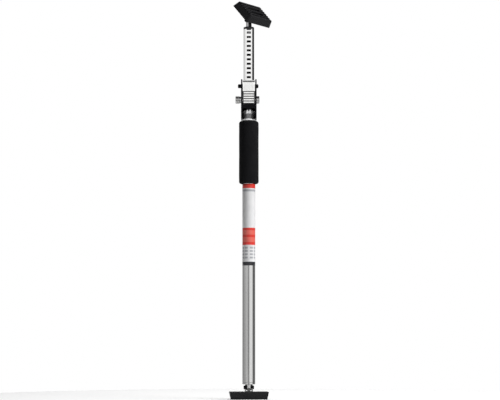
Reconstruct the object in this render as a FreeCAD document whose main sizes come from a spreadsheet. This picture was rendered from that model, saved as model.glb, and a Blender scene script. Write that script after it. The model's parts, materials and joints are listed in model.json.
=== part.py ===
import FreeCAD, Part
import math
import os

import Sketcher
from FreeCAD import Placement, Rotation, Vector

# Telescopic ceiling support: a prop that is wedged between floor and ceiling.
# Frame: origin under the middle of the foot, +Z up along the tubes, the lever and the slots face -Y.
# Lengths are millimetres and angles are degrees.

SIZES = {
    # Pads, brackets and hinge pins, the same at both ends
    "pad_length": 84.4,
    "pad_width": 57.0,
    "pad_thickness": 16.0,
    "pad_taper": 3.5,
    "pad_corner": 3.0,
    "rib_pitch": 7.1,
    "groove_width": 3.2,
    "groove_depth": 2.6,
    "recess_length": 40.0,
    "recess_width": 22.0,
    "recess_depth": 8.0,
    "recess_land": 4.4,
    "backing_sheet": 2.0,
    "backing_margin": 2.0,
    "pin_height": 9.6,
    "bracket_sheet": 1.8,
    "bracket_length": 25.0,
    "ear_radius": 6.0,
    "hinge_pin_diameter": 5.0,
    "hinge_head_diameter": 7.8,
    "hinge_head_length": 3.0,
    "rivet_diameter": 4.0,
    "rivet_head_diameter": 7.4,
    "rivet_crown_diameter": 5.2,
    "rivet_head_height": 1.2,
    "rivet_spacing": 13.2,
    # Necks that swivel in the tube ends
    "neck_diameter": 12.3,
    "neck_shaft_diameter": 8.0,
    "foot_neck_length": 6.7,
    "top_neck_length": 16.5,
    "plug_length": 20.0,
    "circlip_thickness": 1.2,
    "circlip_diameter": 13.0,
    "circlip_groove": 1.0,
    "shaft_tail": 2.5,
    # Tubes
    "tube_diameter": 28.0,
    "tube_wall": 1.2,
    "tube_length": 576.6,
    "tube_lip_height": 2.0,
    "tube_edge": 0.5,
    "inner_tube_diameter": 24.0,
    "inner_tube_wall": 1.2,
    "inner_tube_length": 396.0,
    "foam_diameter": 42.0,
    "foam_length": 138.9,
    "foam_top_round": 5.0,
    "foam_bottom_round": 2.6,
    # Twist lock at the inner tube's upper end
    "lock_flange": 3.0,
    "lock_cone_height": 9.0,
    "lock_cone_slope": 4.0,
    "lock_spindle_diameter": 8.0,
    "lock_sleeve_length": 18.0,
    "lock_slit": 3.0,
    "lock_nut_diameter": 15.0,
    "lock_nut_height": 4.0,
    # Ratchet tube
    "ratchet_diameter": 23.5,
    "ratchet_wall": 1.2,
    "ratchet_length": 263.6,
    "ratchet_insertion": 58.3,
    "slot_pitch": 10.0,
    "slot_width": 9.2,
    "slot_height": 5.0,
    "slots_above_tooth": 11,
    "slots_below_tooth": 9,
    "cap_flange": 5.0,
    "cap_tab_width": 11.6,
    "cap_tab_drop": 3.0,
    "cap_tab_thickness": 1.0,
    "glide_height": 3.0,
    # Head collar between tube and housing
    "collar_ring_diameter": 28.8,
    "collar_ring_height": 4.4,
    "collar_height": 21.7,
    "collar_top_height": 5.0,
    "collar_waist_diameter": 25.6,
    "collar_spigot": 25.0,
    "collar_rivet_diameter": 4.0,
    "collar_rivet_drop": 2.5,
    # Lock housing
    "housing_width": 34.3,
    "housing_sheet": 3.0,
    "housing_front": 24.0,
    "housing_back": 17.5,
    "housing_height": 87.0,
    "housing_crown": 9.0,
    "housing_lower_front": 19.5,
    "web_bottom": 21.4,
    "web_height": 9.2,
    "web_tongue_width": 8.6,
    "web_tongue_drop": 3.5,
    "peg_diameter": 5.0,
    # Lock lever and its pin
    "lever_pivot_height": 75.6,
    "pivot_depth": 16.0,
    "lever_pin_diameter": 5.0,
    "lever_head_diameter": 8.8,
    "lever_left_head": 5.8,
    "lever_right_head": 3.0,
    "lever_width": 26.4,
    "lever_sheet": 2.0,
    "lever_face_depth": 25.8,
    "lever_tail": 38.7,
    "lever_ear_radius": 5.4,
    "lever_ear_drop": 14.0,
    "tooth_rise": 11.0,
    "tooth_width": 8.0,
    "tooth_reach": 1.0,
    "lever_rib_pitch": 5.3,
    "lever_rib_height": 1.0,
    "lever_rib_width": 2.8,
    "lever_rib_count": 5,
    "lever_rail": 2.8,
    "panel_depth": 0.5,
    "panel_margin": 1.6,
    "lip_groove_drop": 2.0,
    "lip_groove_height": 2.4,
    "lip_groove_depth": 0.8,
    "spring_wire": 0.9,
    "spring_turns": 4,
    "spring_leg": 14.0,
    # Clamp screw through the housing
    "clamp_height": 45.0,
    "clamp_screw_diameter": 6.0,
    "clamp_knob_diameter": 16.5,
    "clamp_knob_length": 12.0,
    "clamp_nut_length": 6.0,
    "knob_flute_diameter": 5.0,
    "knob_flutes": 6,
    "knob_edge": 1.0,
    "shoe_height": 26.0,
    "shoe_width": 15.0,
    # Fits
    "slide_gap": 0.3,
    "pin_gap": 0.08,
    "seat_gap": 0.05,
    "face_gap": 0.15,
}

# Pose of the pads at rest: swivel about the tube axis, and tilt of the upper pad
FOOT_SWIVEL = 3.5
TOP_SWIVEL = 52.6
TOP_TILT = 47.5

# How far the lever turns when it is pressed right in
LEVER_TRAVEL = 9.0

# How many short steps draw the curve of the collar's waist
WAIST_STEPS = 12


class Size:
    """A length that keeps its formula, so that it can place a point and also drive a property."""

    def __init__(self, text, value):
        self.text = text
        self.value = value

    def __float__(self):
        return float(self.value)

    def __add__(self, other):
        return Size(f"({self.text} + {formula(other)})", self.value + float(other))

    def __radd__(self, other):
        return self + other

    def __sub__(self, other):
        return Size(f"({self.text} - {formula(other)})", self.value - float(other))

    def __rsub__(self, other):
        return Size(f"({formula(other)} - {self.text})", float(other) - self.value)

    def __mul__(self, other):
        return Size(f"({self.text} * {formula(other)})", self.value * float(other))

    def __rmul__(self, other):
        return self * other

    def __truediv__(self, other):
        return Size(f"({self.text} / {formula(other)})", self.value / float(other))

    def __neg__(self):
        return Size(f"(-{self.text})", -self.value)


def formula(size):
    return size.text if isinstance(size, Size) else repr(float(size))


class Sheet:
    """Gives each cell of the sheet as a Size, by its alias."""

    def __init__(self, cells):
        self.cells = cells

    def __getattr__(self, alias):
        return Size(f"Sizes.{alias}", float(self.cells.get(alias)))


doc = FreeCAD.newDocument("CeilingSupport")
cells = doc.addObject("Spreadsheet::Sheet", "Sizes")
for row, (alias, number) in enumerate(SIZES.items(), start=1):
    cells.set(f"A{row}", alias)
    cells.set(f"B{row}", str(number))
    cells.setAlias(f"B{row}", alias)
doc.recompute()
s = Sheet(cells)
subparts = []


# Helpers that make one feature each

def bind(item, path, size):
    if isinstance(size, Size):
        item.setExpression(path, size.text)


def settle(item, base):
    item.Placement.Base = Vector(*(float(size) for size in base))
    for axis, size in zip("xyz", base):
        bind(item, f"Placement.Base.{axis}", size)


def new_body(label):
    body = doc.addObject("PartDesign::Body", label)
    body.Label = label
    subparts.append(body)
    return body


def new_sketch(body, role, lift):
    plane = next(f for f in body.Origin.OriginFeatures if f.Role == role)
    sketch = body.newObject("Sketcher::SketchObject", "Outline")
    sketch.AttachmentSupport = [(plane, "")]
    sketch.MapMode = "FlatFace"
    sketch.AttachmentOffset = Placement(Vector(0, 0, float(lift)), Rotation())
    bind(sketch, "AttachmentOffset.Base.z", lift)
    return sketch


def pin_point(sketch, geometry, point, place):
    for kind, axis, size in (("DistanceX", -2, place[0]), ("DistanceY", -1, place[1])):
        if isinstance(size, Size):
            number = sketch.addConstraint(Sketcher.Constraint(kind, -1, 1, geometry, point, float(size)))
            bind(sketch, f"Constraints[{number}]", size)
        else:
            sketch.addConstraint(Sketcher.Constraint("PointOnObject", geometry, point, axis))


def draw_polygon(sketch, corners):
    first = sketch.GeometryCount
    count = len(corners)
    points = [Vector(float(u), float(v), 0) for u, v in corners]
    for i in range(count):
        sketch.addGeometry(Part.LineSegment(points[i], points[(i + 1) % count]))
    for i in range(count):
        following = first + (i + 1) % count
        sketch.addConstraint(Sketcher.Constraint("Coincident", first + i, 2, following, 1))
    for i, corner in enumerate(corners):
        pin_point(sketch, first + i, 1, corner)


def draw_circle(sketch, centre, diameter):
    middle = Vector(float(centre[0]), float(centre[1]), 0)
    number = sketch.addGeometry(Part.Circle(middle, Vector(0, 0, 1), float(diameter) / 2))
    pin_point(sketch, number, 3, centre)
    bound = sketch.addConstraint(Sketcher.Constraint("Diameter", number, float(diameter)))
    bind(sketch, f"Constraints[{bound}]", diameter)


def rectangle(left, right, bottom, top):
    return [(left, bottom), (right, bottom), (right, top), (left, top)]


def add_pad(body, role, corners, length, lift=0.0, symmetric=False):
    sketch = new_sketch(body, role, lift)
    draw_polygon(sketch, corners)
    pad = body.newObject("PartDesign::Pad", "Pad")
    pad.Profile = sketch
    pad.SideType = "Symmetric" if symmetric else "One side"
    pad.Length = float(length)
    bind(pad, "Length", length)
    doc.recompute()
    return pad


def add_pocket(body, role, polygons=(), circles=(), depth=None, lift=0.0, symmetric=False):
    """Cuts right through, both ways, unless a depth is given."""
    sketch = new_sketch(body, role, lift)
    for corners in polygons:
        draw_polygon(sketch, corners)
    for centre, diameter in circles:
        draw_circle(sketch, centre, diameter)
    before = body.Shape.Volume
    pocket = body.newObject("PartDesign::Pocket", "Pocket")
    pocket.Profile = sketch
    if symmetric or depth is None:
        pocket.SideType = "Symmetric"
    if depth is None:
        pocket.Type = "ThroughAll"
    else:
        pocket.Length = float(depth)
        bind(pocket, "Length", depth)
    doc.recompute()
    if not body.Shape.Volume < before:
        raise RuntimeError(f"a pocket of {body.Label} cuts nothing")


def add_fillet(body, edges, radius):
    names = [f"Edge{i}" for i, edge in enumerate(body.Shape.Edges, start=1) if edges(edge)]
    if not names:
        raise RuntimeError(f"no edge of {body.Label} is rounded")
    base = body.Tip
    fillet = body.newObject("PartDesign::Fillet", "Fillet")
    fillet.Base = (base, names)
    fillet.Radius = float(radius)
    bind(fillet, "Radius", radius)
    doc.recompute()


def turned(label, profile, base=(0, 0, 0), axis="V_Axis"):
    """A turned piece: its half outline, as (radius, height) or for axis H (length, radius), spun once."""
    body = new_body(label)
    sketch = new_sketch(body, "XZ_Plane", 0.0)
    draw_polygon(sketch, profile)
    spin = body.newObject("PartDesign::Revolution", "Turned")
    spin.Profile = sketch
    spin.ReferenceAxis = (sketch, [axis])
    spin.Angle = 360.0
    doc.recompute()
    settle(body, base)
    return body


def made_of(label, shape, placement=None):
    """A piece whose shape is worked out here from the sheet's sizes."""
    feature = doc.addObject("Part::Feature", label)
    feature.Label = label
    feature.Shape = shape
    if placement is not None:
        feature.Placement = placement
    subparts.append(feature)
    return feature


def bar(start, end, diameter):
    """A round bar between two points."""
    way = end - start
    return Part.makeCylinder(float(diameter) / 2, way.Length, start, way)


# Heights up the prop, each from the piece below it
foot_pin_z = s.pad_thickness + s.pin_height
tube_bottom_z = foot_pin_z + s.foot_neck_length
tube_top_z = tube_bottom_z + s.tube_length
housing_z = tube_top_z + s.collar_ring_height
collar_top_z = tube_top_z + s.collar_height
clamp_z = tube_top_z + s.clamp_height
lever_pivot_z = tube_top_z + s.lever_pivot_height
tooth_z = lever_pivot_z + s.tooth_rise
ratchet_bottom_z = tube_top_z - s.ratchet_insertion
ratchet_top_z = ratchet_bottom_z + s.ratchet_length
cap_top_z = ratchet_top_z + s.cap_flange
top_pin_z = cap_top_z + s.top_neck_length
inner_top_z = tube_bottom_z + s.inner_tube_length

# Radii and widths that several pieces share
tube_bore = s.tube_diameter / 2 - s.tube_wall
inner_bore = s.inner_tube_diameter / 2 - s.inner_tube_wall
ratchet_bore = s.ratchet_diameter / 2 - s.ratchet_wall
shaft_bore = s.neck_shaft_diameter / 2 + s.pin_gap
neck_gap = s.neck_diameter / 2 + s.slide_gap
ear_outside = neck_gap + s.bracket_sheet
cheek_inside = s.housing_width / 2 - s.housing_sheet
ratchet_clear = s.ratchet_diameter / 2 + s.slide_gap


# Pads with their brackets, made about the hinge pin: X along the pin, Z out towards the ribbed face

def pad_block(label, placement):
    body = new_body(label)
    grip = s.pin_height + s.pad_thickness
    half_length = s.pad_length / 2
    half_width = s.pad_width / 2
    block = add_pad(body, "XY_Plane", rectangle(-half_length, half_length, -half_width, half_width),
                    s.pad_thickness, lift=s.pin_height)
    slope = s.pad_taper / s.pad_thickness
    block.TaperAngle = -math.degrees(math.atan(float(slope)))
    block.setExpression("TaperAngle", f"-atan({slope.text})")
    doc.recompute()
    slim = half_width - s.pad_taper
    add_fillet(body, lambda edge: edge.BoundBox.ZLength > 1, s.pad_corner)

    count = int(2 * float(slim) // float(s.rib_pitch))
    grooves = []
    for number in range(1, count):
        middle = s.rib_pitch * (number - count / 2)
        floor = s.groove_width / 4
        mouth = s.groove_width * 3 / 4
        low = grip - s.groove_depth
        high = grip + s.groove_depth
        grooves.append([
            (middle - floor, low), (middle + floor, low), (middle + mouth, high), (middle - mouth, high),
        ])
    add_pocket(body, "YZ_Plane", polygons=grooves)

    end = s.recess_length / 2
    near = s.recess_land / 2
    far = s.recess_width / 2
    recesses = [rectangle(-end, end, near, far), rectangle(-end, end, -far, -near)]
    add_pocket(body, "XY_Plane", polygons=recesses, depth=s.recess_depth, lift=grip)
    add_pocket(body, "XY_Plane", circles=rivet_bores())
    body.Placement = placement


def rivet_bores():
    return [((0, side * s.rivet_spacing / 2), s.rivet_diameter + 2 * s.seat_gap) for side in (-1, 1)]


def pad_backing(label, placement):
    """Two plates, one on the floor of each recess, that spread the pull of the rivets."""
    length = float(s.recess_length - 2 * s.backing_margin)
    near = float(s.recess_land / 2 + s.seat_gap)
    width = float(s.recess_width / 2 - s.seat_gap) - near
    sheet = float(s.backing_sheet)
    floor = float(s.pin_height + s.pad_thickness - s.recess_depth)
    plates = []
    for side in (-1, 1):
        low_y = near if side > 0 else -near - width
        plate = Part.makeBox(length, width, sheet, Vector(-length / 2, low_y, floor))
        middle = Vector(0, side * float(s.rivet_spacing) / 2, floor)
        bore = bar(middle, middle + Vector(0, 0, sheet), s.rivet_diameter + 2 * s.seat_gap)
        plates.append(plate.cut(bore))
    made_of(label, Part.makeCompound(plates), placement)


def pad_bracket(label, placement):
    body = new_body(label)
    foot = s.bracket_length / 2
    waist = s.ear_radius
    side = [(-foot, s.pin_height), (-waist, 0), (-waist, -s.ear_radius), (waist, -s.ear_radius), (waist, 0),
            (foot, s.pin_height)]
    add_pad(body, "YZ_Plane", side, 2 * ear_outside, symmetric=True)
    top = -float(s.ear_radius)

    def ear_tip(edge):
        return abs(edge.Vertexes[0].Z - top) < 0.01 and abs(edge.Vertexes[1].Z - top) < 0.01 \
            and abs(edge.Vertexes[0].X - edge.Vertexes[1].X) > 1
    add_fillet(body, ear_tip, s.ear_radius - s.seat_gap)
    slot = rectangle(-neck_gap, neck_gap, -2 * s.ear_radius, s.pin_height - s.bracket_sheet)
    add_pocket(body, "XZ_Plane", polygons=[slot])
    add_pocket(body, "YZ_Plane", circles=[((0, 0), s.hinge_pin_diameter + 2 * s.seat_gap)])
    add_pocket(body, "XY_Plane", circles=rivet_bores())
    body.Placement = placement


def pad_pin(label, placement):
    shank = s.hinge_pin_diameter / 2
    head = s.hinge_head_diameter / 2
    inner = ear_outside + s.seat_gap
    outer = inner + s.hinge_head_length
    chamfer = s.hinge_head_length / 4
    profile = [
        (-outer, 0), (outer, 0), (outer, head - chamfer), (outer - chamfer, head), (inner, head),
        (inner, shank), (-inner, shank), (-inner, head), (chamfer - outer, head), (-outer, head - chamfer),
    ]
    turned(label, profile, axis="H_Axis").Placement = placement


def pad_rivets(label, placement):
    """Two rivets, from inside the bracket through the pad to the backing plates in its recesses."""
    low = s.pin_height - s.bracket_sheet - s.seat_gap
    high = s.pin_height + s.pad_thickness - s.recess_depth + s.backing_sheet + s.seat_gap
    solids = []
    for side in (-1, 1):
        y = side * float(s.rivet_spacing) / 2
        head = float(s.rivet_head_diameter) / 2
        crown = float(s.rivet_crown_diameter) / 2
        rise = float(s.rivet_head_height)
        shank = bar(Vector(0, y, float(low)), Vector(0, y, float(high)), s.rivet_diameter)
        lower = Part.makeCone(crown, head, rise, Vector(0, y, float(low) - rise))
        upper = Part.makeCone(head, crown, rise, Vector(0, y, float(high)))
        solids.append(shank.multiFuse([lower, upper]).removeSplitter())
    made_of(label, Part.makeCompound(solids), placement)


def pad_set(prefix, placement):
    pad_block(f"{prefix}_pad", placement)
    pad_backing(f"{prefix}_backing_plates", placement)
    pad_bracket(f"{prefix}_bracket", placement)
    pad_pin(f"{prefix}_hinge_pin", placement)
    pad_rivets(f"{prefix}_rivets", placement)


# Necks: an eye for the hinge pin, and a shaft that swivels in the plug of the tube end

def neck(prefix, length, placement):
    """Made with the eye at the origin and the shaft towards -Z."""
    stem = float(s.neck_diameter) / 2
    shoulder = -float(length) + float(s.face_gap)
    shaft_end = -float(length) - float(s.plug_length + s.face_gap + s.circlip_thickness + s.shaft_tail)
    eye_bore = float(s.hinge_pin_diameter) / 2 + float(s.pin_gap)
    groove_z = -float(length) - float(s.plug_length + s.face_gap)
    clip = float(s.circlip_thickness)
    shaft = float(s.neck_shaft_diameter) / 2
    groove = shaft - float(s.circlip_groove)
    seat = float(s.seat_gap)

    column = Part.makeCylinder(stem, stem - shoulder, Vector(0, 0, shoulder))
    rounding = Part.makeCylinder(stem, 2 * stem, Vector(-stem, 0, 0), Vector(1, 0, 0))
    below = Part.makeBox(2 * stem, 2 * stem, -shoulder, Vector(-stem, -stem, shoulder))
    head = column.common(rounding.fuse(below))
    stick = bar(Vector(0, 0, shaft_end), Vector(0, 0, shoulder), 2 * shaft)
    eye = Part.makeCylinder(eye_bore, 4 * stem, Vector(-2 * stem, 0, 0), Vector(1, 0, 0))
    ring_space = Part.makeCylinder(stem, clip, Vector(0, 0, groove_z - clip))
    ring_space = ring_space.cut(Part.makeCylinder(groove, clip, Vector(0, 0, groove_z - clip)))
    shape = head.fuse(stick).cut(eye).cut(ring_space).removeSplitter()
    made_of(f"{prefix}_neck", shape, placement)

    rim = float(s.circlip_diameter) / 2
    ring = Part.makeCylinder(rim, clip - 2 * seat, Vector(0, 0, groove_z - clip + seat))
    ring = ring.cut(Part.makeCylinder(groove + seat, clip, Vector(0, 0, groove_z - clip)))
    mouth = Part.makeBox(2 * groove, 2 * rim, clip, Vector(-groove, 0, groove_z - clip))
    made_of(f"{prefix}_circlip", ring.cut(mouth), placement)


# Tubes and grip

def outer_tube():
    outside = s.tube_diameter / 2
    lip = s.inner_tube_diameter / 2 + s.slide_gap
    lip_top = s.tube_lip_height
    profile = [
        (lip, 0), (outside - s.tube_edge, 0), (outside, s.tube_edge), (outside, s.tube_length),
        (tube_bore, s.tube_length), (tube_bore, lip_top + (tube_bore - lip)), (lip, lip_top),
    ]
    turned("outer_tube", profile, base=(0, 0, tube_bottom_z))


def foam_grip():
    inside = s.tube_diameter / 2 + s.seat_gap
    outside = s.foam_diameter / 2
    profile = [(inside, 0), (outside, 0), (outside, s.foam_length), (inside, s.foam_length)]
    body = turned("foam_grip", profile, base=(0, 0, tube_top_z - s.foam_length))
    doc.recompute()

    def rim_at(height):
        return lambda edge: isinstance(edge.Curve, Part.Circle) and edge.Curve.Radius > float(inside) + 1 \
            and abs(edge.Curve.Center.z - float(height)) < 0.01
    add_fillet(body, rim_at(tube_top_z - s.foam_length), s.foam_bottom_round)
    add_fillet(body, rim_at(tube_top_z), s.foam_top_round)


def inner_tube():
    outside = s.inner_tube_diameter / 2
    length = s.inner_tube_length
    profile = [(inner_bore, 0), (outside, 0), (outside, length), (inner_bore, length)]
    turned("inner_tube", profile, base=(0, 0, tube_bottom_z))


def foot_plug():
    outside = inner_bore - s.seat_gap
    profile = [(shaft_bore, 0), (outside, 0), (outside, s.plug_length), (shaft_bore, s.plug_length)]
    turned("foot_plug", profile, base=(0, 0, tube_bottom_z))


# Twist lock: a cone that spreads a split sleeve inside the outer tube

sleeve_bore = s.lock_spindle_diameter / 2 + s.pin_gap
cone_base = s.lock_spindle_diameter / 2 + s.lock_cone_slope + s.seat_gap
sleeve_z = inner_top_z + s.lock_flange + s.face_gap
lock_nut_z = sleeve_z + s.lock_sleeve_length + s.face_gap


def lock_plug():
    bore = s.lock_spindle_diameter / 2 + s.seat_gap
    fit = inner_bore - s.seat_gap
    rim = s.inner_tube_diameter / 2
    flange_top = s.plug_length + s.lock_flange
    cone_top = flange_top + s.lock_cone_height
    profile = [
        (bore, 0), (fit, 0), (fit, s.plug_length), (rim, s.plug_length), (rim, flange_top),
        (cone_base, flange_top), (bore + s.tube_edge, cone_top), (bore, cone_top),
    ]
    turned("lock_plug", profile, base=(0, 0, inner_top_z - s.plug_length))


def lock_spindle():
    radius = s.lock_spindle_diameter / 2
    low = inner_top_z - s.plug_length
    length = lock_nut_z + s.lock_nut_height + s.tube_edge - low
    profile = [(0, 0), (radius, 0), (radius, length), (0, length)]
    turned("lock_spindle", profile, base=(0, 0, low))


def lock_sleeve():
    outside = tube_bore - s.slide_gap
    wide = cone_base + s.slide_gap
    profile = [
        (wide, 0), (outside, 0), (outside, s.lock_sleeve_length), (sleeve_bore, s.lock_sleeve_length),
        (sleeve_bore, s.lock_cone_height + s.slide_gap),
        (sleeve_bore + s.tube_edge + s.slide_gap, s.lock_cone_height + s.slide_gap),
    ]
    body = turned("lock_sleeve", profile, base=(0, 0, sleeve_z))
    slit = rectangle(-s.lock_slit / 2, s.lock_slit / 2, 0, s.tube_diameter)
    add_pocket(body, "XY_Plane", polygons=[slit])


def lock_nut():
    radius = s.lock_nut_diameter / 2
    bore = s.lock_spindle_diameter / 2 + s.seat_gap
    profile = [(bore, 0), (radius, 0), (radius, s.lock_nut_height), (bore, s.lock_nut_height)]
    turned("lock_nut", profile, base=(0, 0, lock_nut_z))


# Ratchet tube with its cap and glide ring

def ratchet_tube():
    outside = s.ratchet_diameter / 2
    length = s.ratchet_length
    profile = [(ratchet_bore, 0), (outside, 0), (outside, length), (ratchet_bore, length)]
    body = turned("ratchet_tube", profile, base=(0, 0, ratchet_bottom_z))
    tooth = tooth_z - ratchet_bottom_z
    slots = []
    for step in range(-int(s.slots_below_tooth.value), int(s.slots_above_tooth.value) + 1):
        middle = tooth + s.slot_pitch * step
        slots.append(rectangle(-s.slot_width / 2, s.slot_width / 2,
                               middle - s.slot_height / 2, middle + s.slot_height / 2))
    add_pocket(body, "XZ_Plane", polygons=slots, depth=outside, lift=outside)


def ratchet_cap():
    outside = s.ratchet_diameter / 2
    fit = ratchet_bore - s.seat_gap
    low = s.cap_flange - s.plug_length
    profile = [
        (shaft_bore, low), (fit, low), (fit, 0), (outside, 0), (outside, s.cap_flange - s.tube_edge),
        (outside - s.tube_edge, s.cap_flange), (shaft_bore, s.cap_flange),
    ]
    body = turned("ratchet_cap", profile, base=(0, 0, ratchet_top_z))
    half = s.cap_tab_width / 2
    root = rectangle(-half, half, 0, s.cap_flange - s.tube_edge)
    add_pad(body, "XZ_Plane", root, s.cap_tab_thickness + half, lift=outside + s.seat_gap - half)
    tab = rectangle(-half, half, -s.cap_tab_drop, s.cap_flange - s.tube_edge)
    add_pad(body, "XZ_Plane", tab, s.cap_tab_thickness, lift=outside + s.seat_gap)
    tip = float(ratchet_top_z - s.cap_tab_drop)

    def tab_corner(edge):
        box = edge.BoundBox
        return abs(box.ZMax - tip) < 0.01 and box.ZLength < 0.01 and box.XLength < 0.01
    add_fillet(body, tab_corner, s.cap_tab_drop - s.seat_gap)


def ratchet_glide():
    """A ring round the ratchet tube's lower end, which stops it from being pulled out past the collar."""
    inside = s.ratchet_diameter / 2 + s.seat_gap
    outside = tube_bore - s.slide_gap
    profile = [(inside, 0), (outside, 0), (outside, s.glide_height), (inside, s.glide_height)]
    turned("ratchet_glide", profile, base=(0, 0, ratchet_bottom_z))


# Head collar, housing and what is fixed in it

def head_collar():
    spigot = tube_bore - s.seat_gap
    ring = s.collar_ring_diameter / 2
    waist = s.collar_waist_diameter / 2
    crown = cheek_inside - s.seat_gap
    shoulder = s.collar_height - s.collar_top_height
    hollow = []
    for step in range(WAIST_STEPS + 1):
        rise = step / WAIST_STEPS
        end = crown if rise > 0.5 else ring - s.tube_edge
        bend = (2 * rise - 1) ** 2
        height = s.collar_ring_height * (1 - rise) + shoulder * rise
        hollow.append((waist * (1 - bend) + end * bend, height))
    profile = [
        (ratchet_clear, -s.collar_spigot), (spigot, -s.collar_spigot), (spigot, 0), (ring, 0),
        (ring, s.collar_ring_height - s.tube_edge), *hollow,
        (crown, s.collar_height), (ratchet_clear, s.collar_height),
    ]
    body = turned("head_collar", profile, base=(0, 0, tube_top_z))
    rivet = s.collar_height - s.collar_rivet_drop
    add_pocket(body, "YZ_Plane", circles=[((0, rivet), s.collar_rivet_diameter + 2 * s.seat_gap)])


def collar_rivets():
    z = float(collar_top_z - s.collar_rivet_drop)
    inside = float(ratchet_clear + s.slide_gap)
    outside = float(s.housing_width) / 2
    rivets = [bar(Vector(side * inside, 0, z), Vector(side * outside, 0, z), s.collar_rivet_diameter)
              for side in (-1, 1)]
    made_of("collar_rivets", Part.makeCompound(rivets))


def lock_housing():
    body = new_body("lock_housing")
    half = s.housing_width / 2
    height = s.housing_height
    add_pad(body, "XY_Plane", rectangle(-half, half, -s.housing_front, s.housing_back), height)
    sheet = s.housing_sheet
    hollow = rectangle(-cheek_inside, cheek_inside, sheet - s.housing_front, s.housing_back - sheet)
    add_pocket(body, "XY_Plane", polygons=[hollow])
    web = s.web_bottom
    web_top = s.web_bottom + s.web_height
    tongue = s.web_tongue_width / 2
    tongue_tip = s.web_bottom - s.web_tongue_drop
    below = [
        (-cheek_inside, 0), (cheek_inside, 0), (cheek_inside, web), (tongue, web), (tongue, tongue_tip),
        (-tongue, tongue_tip), (-tongue, web), (-cheek_inside, web),
    ]
    openings = [below, rectangle(-cheek_inside, cheek_inside, web_top, height)]
    add_pocket(body, "XZ_Plane", polygons=openings, depth=2 * sheet, lift=s.housing_front + s.slide_gap)
    crown = s.housing_crown
    front = s.housing_front
    back = s.housing_back
    beyond = 2 * s.housing_front
    corners = [
        [(-beyond, height - crown), (-front, height - crown), (crown - front, height), (-beyond, height)],
        [(beyond, height - crown), (back, height - crown), (back - crown, height), (beyond, height)],
        [(-beyond, 0), (-s.housing_lower_front, 0), (-s.housing_lower_front, tongue_tip - crown),
         (-front, tongue_tip), (-beyond, tongue_tip)],
    ]
    add_pocket(body, "YZ_Plane", polygons=corners)
    pivot = (-s.pivot_depth, lever_pivot_z - housing_z)
    clamp = (-s.pivot_depth, clamp_z - housing_z)
    shoe = (0, clamp_z - housing_z)
    rivet = (0, collar_top_z - s.collar_rivet_drop - housing_z)
    holes = [
        (pivot, s.lever_pin_diameter + 2 * s.seat_gap), (clamp, s.clamp_screw_diameter + 2 * s.pin_gap),
        (shoe, s.peg_diameter + 2 * s.seat_gap), (rivet, s.collar_rivet_diameter + 2 * s.seat_gap),
    ]
    add_pocket(body, "YZ_Plane", circles=holes)
    settle(body, (0, 0, housing_z))


def guide_shoes():
    """Two saddles that carry the ratchet tube between the cheeks, each with a peg in its cheek."""
    z = float(clamp_z)
    reach = float(cheek_inside - s.seat_gap)
    width = float(s.shoe_width)
    height = float(s.shoe_height)
    hollow = Part.makeCylinder(float(ratchet_clear), 2 * height, Vector(0, 0, z - height))
    shoes = []
    for side in (-1, 1):
        inner = float(ratchet_clear) * math.cos(math.asin(width / 2 / float(ratchet_clear)))
        low_x = inner if side > 0 else -reach
        block = Part.makeBox(reach - inner, width, height, Vector(low_x, -width / 2, z - height / 2))
        tip = Vector(side * (float(s.housing_width) / 2 - float(s.tube_edge)), 0, z)
        peg = bar(Vector(side * (reach - float(s.tube_edge)), 0, z), tip, s.peg_diameter)
        shoes.append(block.fuse(peg).cut(hollow).removeSplitter())
    made_of("guide_shoes", Part.makeCompound(shoes))


def lever_pin():
    shank = s.lever_pin_diameter / 2
    head = s.lever_head_diameter / 2
    inner = s.housing_width / 2 + s.seat_gap
    left = inner + s.lever_left_head
    right = inner + s.lever_right_head
    edge = s.tube_edge
    profile = [
        (-left, 0), (right, 0), (right, head - edge), (right - edge, head), (inner, head), (inner, shank),
        (-inner, shank), (-inner, head), (edge - left, head), (-left, head - edge),
    ]
    turned("lever_pin", profile, base=(0, -s.pivot_depth, lever_pivot_z), axis="H_Axis")


# Lever, made about its pivot

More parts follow.
